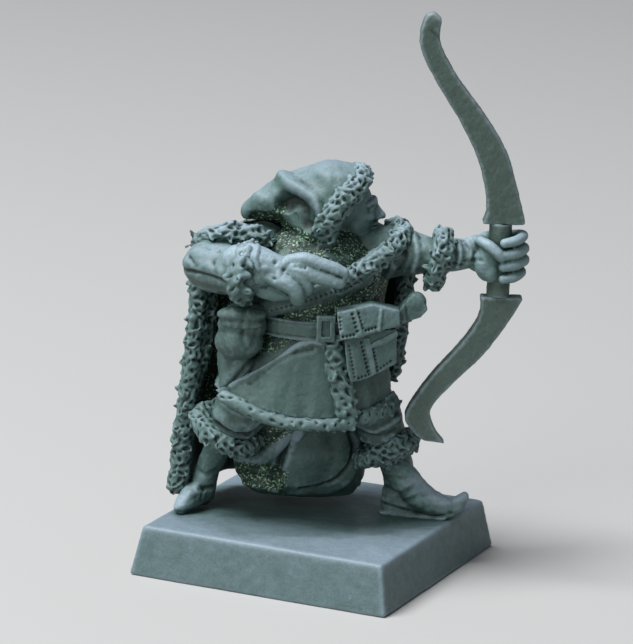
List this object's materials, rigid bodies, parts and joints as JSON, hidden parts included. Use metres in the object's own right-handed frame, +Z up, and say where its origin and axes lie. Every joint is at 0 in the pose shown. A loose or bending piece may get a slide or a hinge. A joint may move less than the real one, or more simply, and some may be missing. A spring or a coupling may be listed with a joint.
{
  "type": "tabletop archer miniature",
  "caption": "Painted metal miniature of a hooded archer in a fur-trimmed robe and cloak, crouching with a recurve bow, glued on a hollow square gaming base.",
  "frame": {"origin": "centre of the base's underside, on the table", "axes": "+Z up; +X and +Y square to the base's sides; -Y is the side the figure's chest mostly faces, and the bow points between +X and +Y, 26 degrees from +X"},
  "size_m": [0.024, 0.02, 0.0407],
  "materials": {
    "base_primer": "matte",
    "cloth_primer": "matte",
    "fur_primer": "matte",
    "skin_primer": "matte",
    "leather_primer": "matte",
    "bow_primer": "matte"
  },
  "bodies": {
    "root": {"base": "base_primer", "left_boot": "leather_primer", "right_boot": "leather_primer", "left_boot_fur": "fur_primer", "right_boot_fur": "fur_primer", "left_trouser": "cloth_primer", "right_trouser": "cloth_primer", "robe_body": "cloth_primer", "robe_skirt": "cloth_primer", "robe_tail": "cloth_primer", "right_front_panel": "cloth_primer", "left_front_panel": "cloth_primer", "right_hem_fur": "fur_primer", "left_hem_fur": "fur_primer", "placket_fur": "fur_primer", "belt": "leather_primer", "belt_buckle": "leather_primer", "baldric": "leather_primer", "belt_pouch": "leather_primer", "pouch_flap": "leather_primer", "satchel": "leather_primer", "satchel_flap": "leather_primer", "satchel_strap": "leather_primer", "knife_handle": "leather_primer", "cloak": "cloth_primer", "cloak_fur_right": "fur_primer", "cloak_fur_left": "fur_primer", "shoulder_fur": "fur_primer", "collar_fur": "fur_primer", "left_sleeve": "cloth_primer", "left_cuff_fur": "fur_primer", "bow_hand": "skin_primer", "right_sleeve": "cloth_primer", "right_cuff_fur": "fur_primer", "draw_hand": "skin_primer", "head": "skin_primer", "hood": "cloth_primer", "hood_fur": "fur_primer", "bow_grip": "bow_primer", "bow_upper_limb": "bow_primer", "bow_lower_limb": "bow_primer"}
  },
  "joints": []
}
